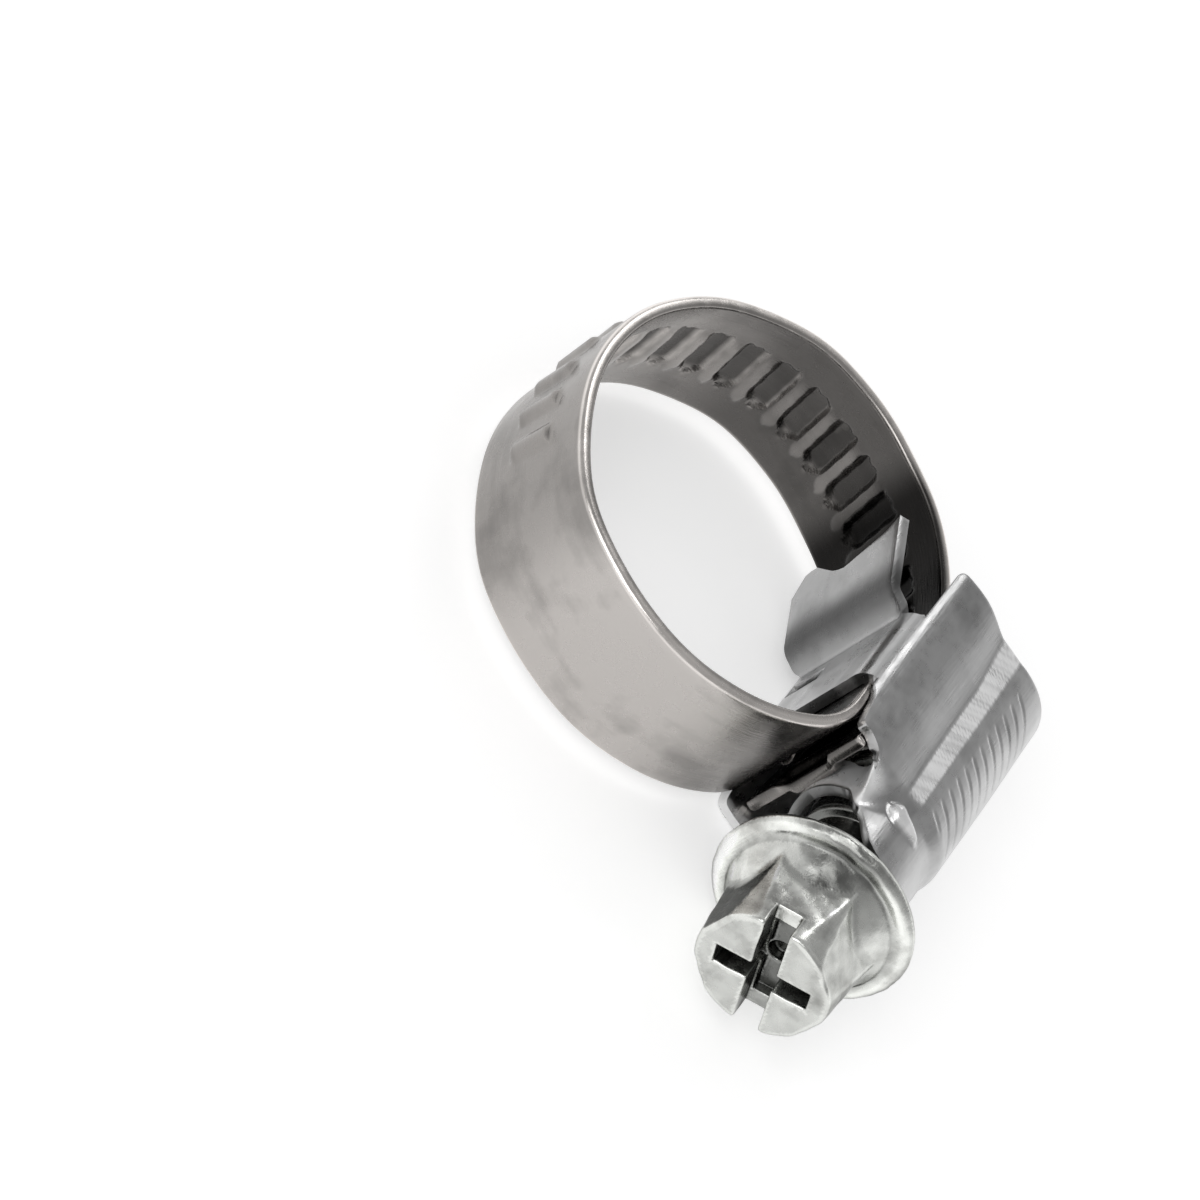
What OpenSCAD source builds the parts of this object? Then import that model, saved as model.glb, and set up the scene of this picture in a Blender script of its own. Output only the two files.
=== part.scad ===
// Worm-drive hose clip with a 9 mm band, a folded one-piece housing and a flanged hex screw.
// The ring axis is Z and its centre is the origin. The housing is on the -Y side.
// The screw axis runs along X, and the screw's head is at its -X end.
// Sizes are in millimetres and angles in degrees.

/* [Band] */
// Width of the band
band_w = 9; // [7:0.5:12]
// Thickness of the band
band_t = 0.7; // [0.5:0.05:0.9]
// Outside diameter of the ring that the band makes
ring_d = 23.4; // [20:0.1:27]
// Length of the threaded end beyond the lowest point of the ring
tail_len = 6.2; // [4.5:0.1:6.4]
// Angle through which the threaded end still turns before the ring
tail_turn = 7.4; // [4:0.2:9]
// Angle before the lowest point where the plain end leaves the ring
bend_at = 41; // [36:1:46]
// Height of the plain end above the lowest point of the ring
seat_lift = 1.6; // [1.4:0.05:1.9]
// Length of the flat plain end
plain_len = 7.6; // [6:0.1:8]
// Width of the necked part of the plain end, less than the band on each side
neck_in = 0.3; // [0.3:0.05:0.6]
// Drop of the hook lanced out of the plain end
hook_drop = 0.5; // [0.3:0.05:0.6]
// Length of that hook along the band
hook_len = 0.9; // [0.6:0.1:1.2]
// Width of that hook across the band
hook_w = 2; // [1.4:0.1:2.4]

/* [Pressed thread] */
// Distance between two ridges along the band
pitch = 2.24; // [2.1:0.02:2.5]
// Length of a recess across the band
recess_w = 3.5; // [3:0.1:4.5]
// Depth of a recess on the inside of the band
recess_depth = 0.4; // [0.25:0.05:0.45]
// Radius of the rounded bottom of a recess
recess_r = 0.75; // [0.7:0.05:0.85]
// Height of a ridge on the outside of the band
ridge_h = 0.33; // [0.2:0.01:0.36]
// Radius of the rounded top of a ridge
ridge_r = 0.62; // [0.5:0.02:0.62]
// How much shorter a ridge is than its recess
ridge_short = 0.2; // [0.1:0.05:0.5]
// Distance from the end of the band to its first ridge
ridge_start = 0.84; // [0.7:0.02:0.9]
// Angle on the ring where the pressed thread ends, from +X towards +Y
thread_end = 130; // [90:1:150]

/* [Housing] */
// Thickness of the folded sheet
sheet_t = 0.6; // [0.5:0.05:0.7]
// Clearance between the band's edge and each wall
side_gap = 0.1; // [0.05:0.05:0.2]
// Clearance between the floor and the plain end of the band
floor_gap = 0.05; // [0.03:0.01:0.1]
// Where the dome and the walls end on the tail side
tail_x = 6.85; // [6:0.05:8]
// Where the floor begins on the head side
floor_head_x = -2.9; // [-3:0.1:-2]
// Where the floor's folds end on the tail side
floor_tail_x = 2.6; // [2.2:0.1:3]
// Outside radius of the fold between a wall and the floor
fold_r = 0.95; // [0.85:0.05:1.1]
// Height of the open wall edges above the lowest point of the ring
lip_rise = 2.2; // [1.8:0.1:2.4]
// Height above the screw axis where the walls start to lean in
lean_rise = 3.3; // [3:0.1:3.5]
// Height above the screw axis of the waist crease
waist_rise = 1.35; // [1:0.05:1.6]
// Half width of the flat facets beside the dome
facet_half = 4.1; // [4.05:0.05:4.3]
// Where the front edge of a wall has its upper corner
wall_top_x = -5.7; // [-5.8:0.1:-5.2]
// Drop of that corner below the open wall edge
wall_top_drop = 0.45; // [0.2:0.05:0.7]
// Where the front edge of a wall has its lower corner
wall_low_x = -6.6; // [-6.8:0.1:-6.2]
// Height of that lower corner above the screw axis
wall_low_rise = 3.2; // [2.9:0.05:3.3]
// Where the dome ends and the collar begins
dome_head_x = -5.5; // [-5.7:0.1:-5.2]
// Length of the shoulder that steps the dome down to the collar
shoulder_len = 0.7; // [0.4:0.1:0.9]

/* [Interlock] */
// Size along X of the slot in the floor
lock_len = 0.7; // [0.5:0.05:0.9]
// Size along Z of the slot in the floor
lock_w = 2.3; // [1.8:0.1:2.8]
// Where the slot's middle is along X
lock_x = 0.9; // [0:0.1:1.2]
// Where the slot's middle is along Z
lock_z = -1.25; // [-1.6:0.05:1.6]
// Clearance between the slot and the tab in it
lock_gap = 0.08; // [0.05:0.01:0.12]

/* [Collar] */
// Back edge of the bridge over the screw's journal
bridge_x = -4.1; // [-4.4:0.05:-4]
// Front end of the collar
collar_x = -9.9; // [-10.5:0.1:-9.4]
// Wall of the collar
collar_t = 0.55; // [0.45:0.05:0.6]
// Radius of the round cut-out in the top of the collar
mouth_r = 3.3; // [3:0.1:3.5]
// How far the centre of that cut-out is in front of the collar
mouth_out = 0.3; // [0:0.1:0.6]
// Height of the centre of that cut-out above the screw axis
mouth_rise = 4.05; // [3.8:0.05:4.3]
// Radius of the bump on each side of the collar
bump_r = 1; // [0.8:0.05:1.1]
// Distance from the front of the collar to the bumps
bump_back = 2.5; // [2:0.1:3]
// How far the bumps stand proud of the collar
bump_h = 0.65; // [0.4:0.05:0.7]
// Distance of the bumps below the screw axis
bump_drop = 0.45; // [0.2:0.05:0.7]

/* [Tongue] */
// Half width of the tongue
tongue_half = 4.3; // [3.8:0.1:4.4]
// Where the tongue leaves the floor
tongue_x = 2.13; // [1.8:0.01:2.2]
// Steepness of its step
step_turn = 68; // [60:1:74]
// Length of the straight part of the step
step_len = 0.9; // [0.6:0.05:1]
// Slope of the tongue after its step
tongue_slope = 24.6; // [21:0.2:27]
// Length of the sloping part
tongue_len = 4.1; // [3:0.1:4.3]
// Radius of the bend at the foot of the step, at mid sheet
foot_r = 0.65; // [0.55:0.05:0.8]
// Radius of the bend at the head of the step, at mid sheet
brow_r = 0.8; // [0.6:0.05:1]
// Depth of the scallop in the tongue's tip
scallop_depth = 1.25; // [0.8:0.05:1.5]
// Radius of the wide side of the scallop
scallop_wide_r = 7.85; // [6:0.05:9]
// Radius of the tight side of the scallop
scallop_tight_r = 3.17; // [2.6:0.01:4]
// Size of the cut corner of the tip
tip_chamfer = 1.05; // [0.6:0.05:1.3]

/* [Impressed lines] */
// Number of slanted lines on each side of the dome
line_count = 12; // [8:1:12]
// Distance between two lines along the screw axis
line_pitch = 0.94; // [0.85:0.01:0.96]
// Angle from the top of the dome to the middle of a line
line_mid = 124; // [118:1:130]
// Angle that a line covers
line_span = 40; // [25:1:46]
// Slant of a line
line_slant = 17; // [8:1:24]
// Radius of the tool that presses a line
line_r = 0.16; // [0.1:0.01:0.2]
// Depth of a line
line_depth = 0.08; // [0.04:0.01:0.1]

/* [Screw] */
// Outside radius of the worm thread
worm_r = 3.2; // [3.1:0.05:3.4]
// Depth of the worm thread
thread_depth = 0.9; // [0.6:0.05:1]
// Width of the thread at its crest
crest_w = 0.6; // [0.4:0.05:0.9]
// Width of the thread at its root
root_w = 1.5; // [1.2:0.05:1.8]
// Clearance between the worm and the pressed ridges of the band
mesh_gap = 0.12; // [0.08:0.01:0.2]
// Clearance between the worm and the inside of the dome
dome_gap = 0.15; // [0.1:0.01:0.2]
// Tail end of the worm
worm_end_x = 6.2; // [5.6:0.1:6.4]
// Clearance between the worm's shoulder and the bridge
shoulder_gap = 0.15; // [0.1:0.01:0.25]
// How much smaller than the worm the journal is
journal_in = 0.3; // [0.25:0.05:0.5]
// Running clearance round the journal
run_gap = 0.05; // [0.03:0.01:0.08]
// Length of the journal in front of the bridge's back edge
journal_len = 3.4; // [3:0.1:4]
// Radius of the neck between journal and flange
neck_r = 2.4; // [2.1:0.05:2.6]
// Clearance between the flange and the front of the collar
flange_gap = 0.15; // [0.1:0.01:0.25]
// Radius of the flange
flange_r = 5.5; // [5.2:0.05:5.8]
// Thickness of the flange's rim
rim_t = 1.5; // [1.2:0.05:1.8]
// Height of the cone between the rim and the hexagon
cone_h = 1.3; // [0.9:0.05:1.5]
// Width across the flats of the hexagon
hex_af = 7; // [6.5:0.1:7.5]
// Height of the hexagon above the rim
hex_h = 5.7; // [5:0.1:6.5]
// Angle of a corner of the hexagon from +Y towards +Z
hex_turn = 32; // [0:1:60]
// How far the hexagon's corners are turned down at its end
corner_cut = 0.42; // [0.2:0.01:0.5]
// Width of the slot across the head
slot_w = 1.35; // [1:0.05:1.6]
// Depth of the slot
slot_depth = 1.5; // [1:0.1:2]
// Angle of the slot from +Y towards +Z
slot_turn = 61; // [0:1:90]
// Length of the cross recess's short arms, tip to tip
arm_len = 5.1; // [4.4:0.1:5.4]
// Width of the cross recess's arms
arm_w = 1.1; // [0.9:0.05:1.3]
// Depth of the cross recess
arm_depth = 2.1; // [1.6:0.1:2.6]
// Radius of the pit at the middle of the cross recess
pit_r = 0.85; // [0.7:0.05:1]
// Depth of that pit
pit_depth = 2.9; // [2.4:0.1:3.4]

/* [Hidden] */
$fn = 96;
// Small overlap for cuts
eps = 0.01;
// Greatest turn of a bent strip between two points of its outline
step_angle = 3;
// How far a cutting shape reaches past what it cuts
past = 1;

// Band
ring_r = ring_d / 2;
ring_mid = ring_r - band_t / 2;
plain_mid = ring_r - seat_lift - band_t / 2;
bend_r = (plain_mid - ring_mid * cos(bend_at)) / (1 - cos(bend_at));
tail_r = tail_len / radians(tail_turn);
ring_turn = 360 - bend_at;
threaded_len = tail_len + ring_mid * radians(thread_end + 90);
ridge_count = floor((threaded_len - ridge_start) / pitch) + 1;
lead = atan(pitch / (2 * PI * (worm_r - thread_depth / 2)));
band_path = [
  [tail_len, tail_turn],
  [ring_mid * radians(ring_turn), ring_turn],
  [bend_r * radians(bend_at), bend_at],
  [plain_len, 0],
];
band_start = [-tail_r * sin(tail_turn), -ring_mid + tail_r * (1 - cos(tail_turn)), -tail_turn];
bend_end_x = bend_r * sin(bend_at) - ring_mid * sin(bend_at);
neck_from_x = floor_head_x - floor_gap;

// Housing
axis_y = -(ring_r + ridge_h + mesh_gap + worm_r);
bore_r = worm_r + dome_gap;
dome_r = bore_r + sheet_t;
wall_in = band_w / 2 + side_gap;
wall_out = wall_in + sheet_t;
floor_low_y = -(plain_mid - band_t / 2) + floor_gap;
floor_top_y = floor_low_y + sheet_t;
fold_y = floor_top_y - fold_r;
fold_z = wall_out - fold_r;
lip_y = -ring_r + lip_rise;
journal_r = worm_r - journal_in;
collar_in = journal_r + run_gap;
collar_out = collar_in + collar_t;
bump_x = collar_x + bump_back;
tongue_path = [
  [foot_r * radians(step_turn), step_turn],
  [step_len, 0],
  [brow_r * radians(step_turn - tongue_slope), tongue_slope - step_turn],
  [tongue_len, 0],
];
tongue_start = [tongue_x, floor_low_y + sheet_t / 2, 0];
tongue_total = path_length(tongue_path);

// Screw
worm_start_x = bridge_x + shoulder_gap;
flange_x = collar_x - flange_gap;
hex_base_x = flange_x - rim_t;
head_end_x = hex_base_x - hex_h;
hex_corner_r = hex_af / sqrt(3);
// How much smaller than the hexagon's corners the cone ends
cone_in = 0.2;
// How far outside the corners the turned cone starts at the flange
corner_clear = 0.25;
// Steps in one turn of the thread
thread_steps = 20;
// How far the thread's section reaches into the worm's core
sink = 0.1;
thread_from_x = worm_start_x + root_w / 2;
thread_turns = (worm_end_x - root_w / 2 - thread_from_x) / pitch;
thread_count = floor(thread_turns * thread_steps);

function radians(a) = a * PI / 180;

// A path is a list of [length, turn] pieces, where turn is to the left and 0 is straight.
function path_length(path, i = 0) =
  i < len(path) ? path[i][0] + path_length(path, i + 1) : 0;

// A pose is [x, y, heading]. This one is reached from another by one length and turn.
function moved(at, length, turn) =
  turn == 0
    ? [at.x + length * cos(at.z), at.y + length * sin(at.z), at.z]
    : let (r = length / radians(turn))
      [
        at.x + r * (sin(at.z + turn) - sin(at.z)),
        at.y - r * (cos(at.z + turn) - cos(at.z)),
        at.z + turn,
      ];

// The pose at a length along a path.
function pose_on(path, at, s, i = 0) =
  let (piece = path[i])
  s <= piece[0] || i == len(path) - 1
    ? moved(at, s, piece[1] * s / piece[0])
    : pose_on(path, moved(at, piece[0], piece[1]), s - piece[0], i + 1);

// All poses of a path that its outline is drawn through.
function poses_of(path, at, i = 0) =
  let (piece = path[i], n = max(1, ceil(abs(piece[1]) / step_angle)))
  concat(
    [for (k = [0 : n - 1]) moved(at, piece[0] * k / n, piece[1] * k / n)],
    i < len(path) - 1
      ? poses_of(path, moved(at, piece[0], piece[1]), i + 1)
      : [moved(at, piece[0], piece[1])]
  );

// The point beside a pose, to its left.
function beside(at, d) = [at.x - d * sin(at.z), at.y + d * cos(at.z)];

module at_pose(at) {
  translate([at.x, at.y, 0]) rotate([0, 0, at.z]) children();
}

// A flat strip bent along a path.
module strip(path, start, width, thick) {
  poses = poses_of(path, start);
  last = len(poses) - 1;
  linear_extrude(height = width, center = true)
    polygon(concat(
      [for (at = poses) beside(at, -thick / 2)],
      [for (i = [0 : last]) beside(poses[last - i], thick / 2)]
    ));
}

// Cylinder along X between two places on the screw axis.
module axis_cylinder(x1, x2, r) {
  translate([min(x1, x2), axis_y, 0]) rotate([0, 90, 0]) cylinder(h = abs(x2 - x1), r = r);
}

// Extrudes a section drawn in Y and Z along X.
module extrude_x(x1, x2) {
  translate([x1, 0, 0]) rotate([90, 0, 90]) linear_extrude(height = x2 - x1) children();
}

// Puts its children at every ridge of the pressed thread.
module each_ridge() {
  for (k = [0 : ridge_count - 1])
    at_pose(pose_on(band_path, band_start, ridge_start + k * pitch))
      rotate([0, lead, 0])
        children();
}

// What is cut from both edges of the plain end where it lies under the housing's floor.
module neck_cuts() {
  for (side = [0, 1])
    mirror([0, 0, side])
      translate([neck_from_x, -plain_mid - band_t, band_w / 2 - neck_in])
        cube([plain_len + past, 2 * band_t, neck_in + past]);
}

// The tab that stands in the slot of the floor.
module lock_tab() {
  translate([
    lock_x - lock_len / 2 + lock_gap,
    -plain_mid,
    lock_z - lock_w / 2 + lock_gap,
  ])
    cube([lock_len - 2 * lock_gap, band_t / 2 + sheet_t, lock_w - 2 * lock_gap]);
}

// The hook lanced out of the plain end, away from the ring.
module hook() {
  translate([bend_end_x, -plain_mid, -hook_w / 2])
    linear_extrude(height = hook_w)
      polygon([[0, 0], [hook_len / 2, -band_t / 2 - hook_drop], [hook_len, 0]]);
}

module band() {
  color([0.72, 0.71, 0.69]) difference() {
    union() {
      difference() {
        strip(band_path, band_start, band_w, band_t);
        neck_cuts();
      }
      lock_tab();
      hook();
      each_ridge()
        translate([0, ridge_r - band_t / 2 - ridge_h, 0])
          cylinder(h = recess_w - ridge_short, r = ridge_r, center = true, $fn = 32);
    }
    each_ridge()
      translate([0, recess_r + band_t / 2 - recess_depth, 0])
        cylinder(h = recess_w, r = recess_r, center = true, $fn = 32);
  }
}

// Outside of the dome and walls, drawn in Y and Z.
module section_outside() {
  translate([axis_y, 0]) circle(r = dome_r);
  polygon([
    [floor_top_y, -wall_out], [axis_y + lean_rise, -wall_out],
    [axis_y + waist_rise, -facet_half], [axis_y, -facet_half],
    [axis_y, facet_half], [axis_y + waist_rise, facet_half],
    [axis_y + lean_rise, wall_out], [floor_top_y, wall_out],
  ]);
}

// Space inside the dome and walls, drawn in Y and Z.
module section_inside() {
  lean_y = axis_y + lean_rise - sheet_t / 4;
  waist_y = axis_y + waist_rise - sheet_t / 4;
  waist_in = facet_half - sheet_t;
  translate([axis_y, 0]) circle(r = bore_r);
  polygon([
    [floor_top_y + past, -wall_in], [lean_y, -wall_in], [waist_y, -waist_in], [axis_y, -bore_r],
    [axis_y, bore_r], [waist_y, waist_in], [lean_y, wall_in], [floor_top_y + past, wall_in],
  ]);
}

// Side outline of the dome and walls.
module side_outline() {
  low_y = axis_y - dome_r - past;
  polygon([
    [tail_x, low_y], [tail_x, lip_y], [floor_tail_x, lip_y], [floor_tail_x, fold_y],
    [floor_head_x, fold_y], [floor_head_x, lip_y], [wall_top_x, lip_y - wall_top_drop],
    [wall_low_x, axis_y + wall_low_rise], [dome_head_x, axis_y + waist_rise],
    [dome_head_x, low_y],
  ]);
}

module dome_and_walls() {
  intersection() {
    extrude_x(wall_low_x, tail_x) difference() {
      section_outside();
      section_inside();
    }
    linear_extrude(height = 2 * wall_out + past, center = true) side_outline();
  }
}

// The floor between the walls, with a rounded fold along each side.
module floor_section() {
  translate([floor_low_y, -fold_z]) square([sheet_t, 2 * fold_z]);
  for (side = [0, 1])
    mirror([0, side])
      translate([fold_y, fold_z])
        intersection() {
          difference() {
            circle(r = fold_r);
            circle(r = fold_r - sheet_t);
          }
          square(fold_r);
        }
}

// The tongue under the tail side of the band.
module tongue() {
  tip = pose_on(tongue_path, tongue_start, tongue_total);
  difference() {
    strip(tongue_path, tongue_start, 2 * tongue_half, sheet_t);
    // Scallop in the tip, wide on the +Z side and tight on the -Z side
    at_pose(moved(tip, -scallop_depth, 0))
      rotate([90, 0, 0]) {
        intersection() {
          translate([scallop_wide_r, 0, -past]) cylinder(h = 2 * past, r = scallop_wide_r);
          translate([0, 0, -past]) cube([scallop_depth + past, tongue_half + past, 2 * past]);
        }
        intersection() {
          translate([scallop_tight_r, 0, -past]) cylinder(h = 2 * past, r = scallop_tight_r);
          translate([0, -tongue_half - past, -past])
            cube([scallop_depth + past, tongue_half + past, 2 * past]);
        }
      }
    // Cut corner of the tip
    at_pose(tip)
      translate([0, 0, -tongue_half])
        rotate([0, 45, 0])
          cube([sqrt(2) * tip_chamfer, 2 * past, sqrt(2) * tip_chamfer], center = true);
  }
}

// The ring round the screw's journal, open at the top towards the head.
module collar() {
  difference() {
    union() {
      axis_cylinder(collar_x, bridge_x, collar_out);
      shoulder();
      for (side = [-1, 1])
        translate([bump_x, axis_y - bump_drop, side * (collar_out + bump_h - bump_r)])
          sphere(r = bump_r);
    }
    axis_cylinder(collar_x - past, bridge_x + past, collar_in);
    translate([collar_x - mouth_out, axis_y + mouth_rise, 0])
      cylinder(h = 2 * wall_out, r = mouth_r, center = true);
  }
}

// The step from the dome down to the collar, below the waist.
module shoulder() {
  intersection() {
    translate([dome_head_x, axis_y, 0])
      rotate([0, -90, 0]) cylinder(h = shoulder_len, r1 = dome_r, r2 = collar_out);
    translate([dome_head_x - shoulder_len - past, axis_y + waist_rise - 2 * dome_r, -dome_r])
      cube([shoulder_len + 2 * past, 2 * dome_r, 2 * dome_r]);
  }
}

// The impressed lines on one side of the dome.
module impressed_lines() {
  first_x = -(line_count - 1) * line_pitch / 2;
  for (k = [0 : line_count - 1])
    translate([first_x + k * line_pitch, axis_y, 0])
      rotate([line_mid, 0, 0])
        rotate([0, line_slant, 0])
          rotate([0, 90, 0])
            rotate([0, 0, 90 - line_span / 2])
              rotate_extrude(angle = line_span)
                translate([dome_r + line_r - line_depth, 0]) circle(r = line_r, $fn = 16);
}

module housing() {
  color([0.66, 0.66, 0.66]) difference() {
    union() {
      dome_and_walls();
      extrude_x(floor_head_x, floor_tail_x) floor_section();
      tongue();
      collar();
    }
    for (side = [0, 1]) mirror([0, 0, side]) impressed_lines();
    translate([lock_x - lock_len / 2, floor_low_y - eps, lock_z - lock_w / 2])
      cube([lock_len, sheet_t + 2 * eps, lock_w]);
  }
}

// A point of the thread: r from the screw axis, at x and at angle a from +Y towards +Z.
function thread_point(x, r, a) = [x, axis_y + r * cos(a), r * sin(a)];

// The four points of the thread's section, i steps along it.
function thread_section(i) =
  let (a = 360 * i / thread_steps, x = thread_from_x + pitch * i / thread_steps)
  let (low_r = worm_r - thread_depth - sink)
  [
    thread_point(x - root_w / 2, low_r, a),
    thread_point(x - crest_w / 2, worm_r, a),
    thread_point(x + crest_w / 2, worm_r, a),
    thread_point(x + root_w / 2, low_r, a),
  ];

// The single right-hand thread of the worm.
module thread() {
  sections = [for (i = [0 : thread_count]) each thread_section(i)];
  sides = [
    for (i = [0 : thread_count - 1], j = [0 : 3])
      [4 * i + j, 4 * i + (j + 1) % 4, 4 * i + 4 + (j + 1) % 4, 4 * i + 4 + j]
  ];
  last = 4 * thread_count;
  polyhedron(sections, concat([[3, 2, 1, 0]], sides, [[last, last + 1, last + 2, last + 3]]));
}

module worm() {
  axis_cylinder(worm_start_x, worm_end_x, worm_r - thread_depth);
  thread();
}

// The flange with its rounded rim and the cone in front of it.
module flange() {
  rim_r = rim_t / 2;
  translate([flange_x, axis_y, 0])
    rotate([0, -90, 0])
      rotate_extrude() {
        translate([flange_r - rim_r, rim_r]) circle(r = rim_r, $fn = 32);
        square([flange_r - rim_r, rim_t]);
        translate([0, rim_t - eps])
          polygon([[0, 0], [flange_r - rim_r, 0], [hex_corner_r - cone_in, cone_h], [0, cone_h]]);
      }
}

// The hexagon, whose corners are turned down towards its end.
module hexagon() {
  translate([hex_base_x + eps, axis_y, 0])
    rotate([0, -90, 0])
      intersection() {
        rotate([0, 0, 90 + hex_turn]) cylinder(h = hex_h + eps, r = hex_corner_r, $fn = 6);
        cylinder(h = hex_h + eps, r1 = hex_corner_r + corner_clear, r2 = hex_corner_r - corner_cut);
      }
}

// The slot and the cross recess in the end of the head.
module drive_cuts() {
  translate([head_end_x, axis_y, 0])
    rotate([slot_turn, 0, 0]) {
      translate([-past, -hex_af, -slot_w / 2]) cube([slot_depth + past, 2 * hex_af, slot_w]);
      translate([-past, -arm_w / 2, -arm_len / 2]) cube([arm_depth + past, arm_w, arm_len]);
      translate([-past, -arm_len / 2, -arm_w / 2]) cube([arm_depth + past, arm_len, arm_w]);
      rotate([0, 90, 0]) cylinder(h = pit_depth, r = pit_r);
    }
}

module worm_screw() {
  color([0.8, 0.81, 0.78]) difference() {
    union() {
      worm();
      axis_cylinder(worm_start_x, bridge_x - journal_len, journal_r);
      axis_cylinder(bridge_x - journal_len, flange_x, neck_r);
      flange();
      hexagon();
    }
    drive_cuts();
  }
}

band();
housing();
worm_screw();
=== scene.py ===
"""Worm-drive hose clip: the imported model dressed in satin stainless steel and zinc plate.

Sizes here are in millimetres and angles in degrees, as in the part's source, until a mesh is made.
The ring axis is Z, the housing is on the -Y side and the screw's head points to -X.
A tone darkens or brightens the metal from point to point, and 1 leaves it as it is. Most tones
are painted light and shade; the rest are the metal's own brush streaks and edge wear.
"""

import bmesh
import bpy
import numpy as np
from mathutils import Matrix, Vector


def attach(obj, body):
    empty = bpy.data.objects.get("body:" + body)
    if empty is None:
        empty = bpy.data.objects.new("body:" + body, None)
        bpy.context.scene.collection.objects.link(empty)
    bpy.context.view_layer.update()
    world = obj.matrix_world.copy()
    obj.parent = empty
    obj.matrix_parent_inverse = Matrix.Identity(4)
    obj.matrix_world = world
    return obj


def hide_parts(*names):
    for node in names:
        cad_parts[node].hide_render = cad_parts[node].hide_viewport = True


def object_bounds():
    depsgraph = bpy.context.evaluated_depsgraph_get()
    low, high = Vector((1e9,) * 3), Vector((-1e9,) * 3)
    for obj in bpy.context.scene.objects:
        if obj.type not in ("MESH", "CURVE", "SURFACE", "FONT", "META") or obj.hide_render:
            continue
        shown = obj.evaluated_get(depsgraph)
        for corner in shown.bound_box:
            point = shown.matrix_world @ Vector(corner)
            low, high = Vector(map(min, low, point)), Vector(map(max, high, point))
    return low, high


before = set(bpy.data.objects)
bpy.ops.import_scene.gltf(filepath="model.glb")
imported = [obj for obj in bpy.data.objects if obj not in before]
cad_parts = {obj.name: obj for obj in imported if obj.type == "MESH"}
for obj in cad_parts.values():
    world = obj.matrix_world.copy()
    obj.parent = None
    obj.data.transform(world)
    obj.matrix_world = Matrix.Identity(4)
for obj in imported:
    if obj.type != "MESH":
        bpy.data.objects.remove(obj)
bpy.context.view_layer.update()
MM = 0.001

# Camera, fitted to both rims of the ring and to the screw's flange: its place, the directions
# that are right and down in the picture, and its lens
CAMERA_AT = (-165.09, 33.27, 155.97)
CAMERA_RIGHT = (0.4659, -0.6545, 0.5955)
CAMERA_DOWN = (-0.5398, -0.7435, -0.3948)
CAMERA_LENS = 137.395
SENSOR_W = 36

# Studio: what the ceiling looks like in the metal, the light of the world, the glow of the floor
# as the camera and the metal see it, its half width and its drop in metres, and the lamps' aim
CEILING = 0.34
WORLD_LIGHT = 0.55
FLOOR_GLOW = 0.45
FLOOR_HALF = 3
FLOOR_DROP = 0.00001
LAMP_AIM = (0, -6, 0)

# Metal: how strongly its grain lines show and their depth in metres, and how much coarser than
# these its streaks of colour are
SCRATCH = 0.3
SCRATCH_DEPTH = 0.00004
STREAK = 0.12

# Sizes of the band: its section, the ring's outside radius, the tail before the ring, the angle
# over which it bends in and by how much, the straight plain end, and its rounded cut ends
BAND_W = 9.0
BAND_T = 0.7
OUTER_EDGE_R = 0.27
INNER_EDGE_R = 0.18
RING_R = 11.7
TAIL_LEN = 6.2
TAIL_TURN = 7.4
BEND_AT = 41.0
SEAT_LIFT = 1.6
PLAIN_LEN = 7.6
NECK_IN = 0.3
CUT_STEP = 0.05
CUT_ROUND = 0.12
CUT_IN = 0.09

# Half width of the section's finest grid, which the thread needs, and of the coarser one beside it
THREAD_HALF = 2.4
BESIDE_HALF = 3.4

# Bulges of the bent ring: height, angle and half width of each
RING_BULGES = ((0.24, 15, 14), (0.2, 143, 12), (-0.13, -21, 11))

# Tones of the band, which paint light and shade: its inside, painted darker as shade, its outside,
# painted darker than the painted highlight on its rims, and the length at which the painted shade
# behind the tongue ends
INNER_PAINTED_SHADE = 0.5
OUTER_TONE = 0.8
TONGUE_SHADE = 21.0

# Lance on the plain end
HOOK_X = -2.5
HOOK_Z = -3.7
HOOK_LEN = 1.3
HOOK_W = 2.1
HOOK_H = 0.62

# Pressed thread of the band: recesses on the inside, fingers between them, ridges on the outside
PITCH = 2.24
RIDGE_COUNT = 22
FIRST_RIDGE = 0.28
RECESS_LEAN = 6.5
RECESS_DEPTH = 0.33
FINGER_FOOT = -1.45
FINGER_HALF = 0.5
FINGER_H = 0.15
RIDGE_H = 0.33

# Where each side of a recess and of a ridge starts to slope and where it ends, along and across
RECESS_FRONT = (-0.98, -0.42)
RECESS_BACK = (0.84, 0.4)
RECESS_LOW = (-2.5, -1.8)
RECESS_POINT = (-2.3, -1.0)
RECESS_TOP = (2.2, 1.85)
RIDGE_FLANK = (0.8, 0.15)
RIDGE_ENDS = (1.8, 1.4)
RIDGE_MIDDLE = 0.3

# Sizes of the housing: sheet, dome, walls, folds and floor
SHEET_T = 0.6
EDGE_R = 0.1
AXIS_Y = -15.35
DOME_HALF = 4.02
DOME_DEEP = 3.95
WALL_OUT = 5.2
LIP_Y = -9.5
FOLD_R = 1.3
TAIL_X = 6.85
TAIL_CORNER_R = 0.45
FLOOR_TOP_Y = -8.75
FLOOR_HEAD_X = -2.9
FLOOR_TAIL_X = 2.6
FLOOR_CORNER_R = 0.45

# Slot in the floor that catches the plain end
CATCH_X = (0.35, 1.5)
CATCH_Z = -2.2
CATCH_HALF = 1.3

# Shoulder, collar, the slot between wall and collar, and the bridge over the journal
SHOULDER_X = -5.6
COLLAR_X = -9.9
SLOT_BACK_X = -6.9
SLOT_ANGLE = 56.0
BRIDGE_ANGLE = 36.0
BRIDGE_R = 3.8

# Impressed lines on the side of the dome
LINE_X = -5.15
LINE_PITCH = 0.94
LINE_COUNT = 12
LINE_DEPTH = 0.06
LINE_HALF = 0.09
LINE_SLANT = 0.021
LINE_TOP = 106

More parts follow.
